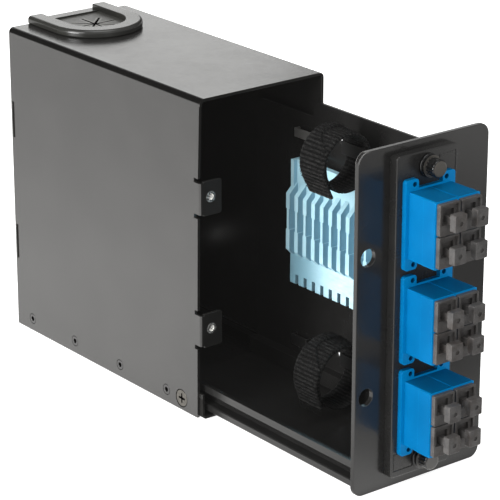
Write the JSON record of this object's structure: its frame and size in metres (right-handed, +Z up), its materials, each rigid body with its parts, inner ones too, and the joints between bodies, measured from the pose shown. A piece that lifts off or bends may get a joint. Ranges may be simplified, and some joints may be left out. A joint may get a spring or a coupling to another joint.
{
  "type": "fiber termination box",
  "caption": "Slide-out steel box for terminating optical fibres: drawer with splice comb and fibre straps, removable panel of capped duplex ports, cable entry on top.",
  "frame": {"origin": "centre of the housing's underside", "axes": "+X towards the drawer bezel and the ports, +Z up, -Y the side with the two lock tabs; the drawer stands open at rest"},
  "size_m": [0.2633, 0.0664, 0.1404],
  "materials": {
    "housing_paint": "satin",
    "tray_paint": "satin",
    "bezel_paint": "gloss",
    "panel_paint": "satin",
    "adapter_blue": "semi-gloss",
    "cap_black": "matte",
    "entry_plastic": "satin",
    "entry_rubber": "matte",
    "rail_plastic": "satin",
    "black_rivet": "satin",
    "zinc_screw": "bright zinc",
    "zinc_insert": "bright zinc",
    "clip_steel": "zinc plated",
    "latch_plastic": "matte",
    "splice_plastic": "semi-translucent satin",
    "foam_tape": "foam",
    "strap_fabric": "woven",
    "ceramic": "polished",
    "spring_steel": "bright",
    "plunger_plastic": "gloss"
  },
  "bodies": {
    "enclosure": {"housing_cover": "housing_paint", "base_panel": "housing_paint", "rear_panel": "housing_paint", "rail_rivets": "black_rivet", "side_screws": "zinc_screw", "lock_inserts": "zinc_insert", "rail_near": "rail_plastic", "rail_far": "rail_plastic", "cable_entry_frame": "entry_plastic", "cable_entry_membrane": "entry_rubber", "din_rail_clip": "clip_steel", "din_clip_screws": "zinc_screw"},
    "din_latch": {"din_latch": "latch_plastic"},
    "drawer": {"drawer_tray": "tray_paint", "drawer_bezel": "bezel_paint", "splice_holder": "splice_plastic", "splice_holder_pads": "foam_tape", "strap_upper": "strap_fabric", "strap_lower": "strap_fabric", "strap_bridges": "tray_paint"},
    "adapter_panel": {"adapter_plate": "panel_paint", "adapter_top_left": "adapter_blue", "adapter_top_right": "adapter_blue", "adapter_middle_left": "adapter_blue", "adapter_middle_right": "adapter_blue", "adapter_bottom_left": "adapter_blue", "adapter_bottom_right": "adapter_blue", "alignment_sleeves": "ceramic", "adapter_clips": "spring_steel", "plunger_sleeves": "plunger_plastic"},
    "plunger_top": {"plunger_top": "plunger_plastic"},
    "plunger_bottom": {"plunger_bottom": "plunger_plastic"},
    "cap_top_upper_left": {"cap_top_upper_left": "cap_black"},
    "cap_top_upper_right": {"cap_top_upper_right": "cap_black"},
    "cap_top_lower_left": {"cap_top_lower_left": "cap_black"},
    "cap_top_lower_right": {"cap_top_lower_right": "cap_black"},
    "cap_middle_upper_left": {"cap_middle_upper_left": "cap_black"},
    "cap_middle_upper_right": {"cap_middle_upper_right": "cap_black"},
    "cap_middle_lower_left": {"cap_middle_lower_left": "cap_black"},
    "cap_middle_lower_right": {"cap_middle_lower_right": "cap_black"},
    "cap_bottom_upper_left": {"cap_bottom_upper_left": "cap_black"},
    "cap_bottom_upper_right": {"cap_bottom_upper_right": "cap_black"},
    "cap_bottom_lower_left": {"cap_bottom_lower_left": "cap_black"},
    "cap_bottom_lower_right": {"cap_bottom_lower_right": "cap_black"}
  },
  "joints": [
    {"name": "drawer_slide", "type": "slide", "parent": "enclosure", "child": "drawer", "axis": [1, 0, 0], "range_m": [-0.0914, 0]},
    {"name": "panel_pull", "type": "slide", "parent": "drawer", "child": "adapter_panel", "axis": [1, 0, 0], "range_m": [0, 0.03]},
    {"name": "plunger_top_pull", "type": "slide", "parent": "adapter_panel", "child": "plunger_top", "axis": [1, 0, 0], "range_m": [0, 0.004]},
    {"name": "plunger_bottom_pull", "type": "slide", "parent": "adapter_panel", "child": "plunger_bottom", "axis": [1, 0, 0], "range_m": [0, 0.004]},
    {"name": "din_latch_slide", "type": "slide", "parent": "enclosure", "child": "din_latch", "axis": [0, 0, 1], "range_m": [-0.003, 0]},
    {"name": "cap_top_upper_left_pull", "type": "slide", "parent": "adapter_panel", "child": "cap_top_upper_left", "axis": [1, 0, 0], "range_m": [0, 0.012]},
    {"name": "cap_top_upper_right_pull", "type": "slide", "parent": "adapter_panel", "child": "cap_top_upper_right", "axis": [1, 0, 0], "range_m": [0, 0.012]},
    {"name": "cap_top_lower_left_pull", "type": "slide", "parent": "adapter_panel", "child": "cap_top_lower_left", "axis": [1, 0, 0], "range_m": [0, 0.012]},
    {"name": "cap_top_lower_right_pull", "type": "slide", "parent": "adapter_panel", "child": "cap_top_lower_right", "axis": [1, 0, 0], "range_m": [0, 0.012]},
    {"name": "cap_middle_upper_left_pull", "type": "slide", "parent": "adapter_panel", "child": "cap_middle_upper_left", "axis": [1, 0, 0], "range_m": [0, 0.012]},
    {"name": "cap_middle_upper_right_pull", "type": "slide", "parent": "adapter_panel", "child": "cap_middle_upper_right", "axis": [1, 0, 0], "range_m": [0, 0.012]},
    {"name": "cap_middle_lower_left_pull", "type": "slide", "parent": "adapter_panel", "child": "cap_middle_lower_left", "axis": [1, 0, 0], "range_m": [0, 0.012]},
    {"name": "cap_middle_lower_right_pull", "type": "slide", "parent": "adapter_panel", "child": "cap_middle_lower_right", "axis": [1, 0, 0], "range_m": [0, 0.012]},
    {"name": "cap_bottom_upper_left_pull", "type": "slide", "parent": "adapter_panel", "child": "cap_bottom_upper_left", "axis": [1, 0, 0], "range_m": [0, 0.012]},
    {"name": "cap_bottom_upper_right_pull", "type": "slide", "parent": "adapter_panel", "child": "cap_bottom_upper_right", "axis": [1, 0, 0], "range_m": [0, 0.012]},
    {"name": "cap_bottom_lower_left_pull", "type": "slide", "parent": "adapter_panel", "child": "cap_bottom_lower_left", "axis": [1, 0, 0], "range_m": [0, 0.012]},
    {"name": "cap_bottom_lower_right_pull", "type": "slide", "parent": "adapter_panel", "child": "cap_bottom_lower_right", "axis": [1, 0, 0], "range_m": [0, 0.012]}
  ]
}
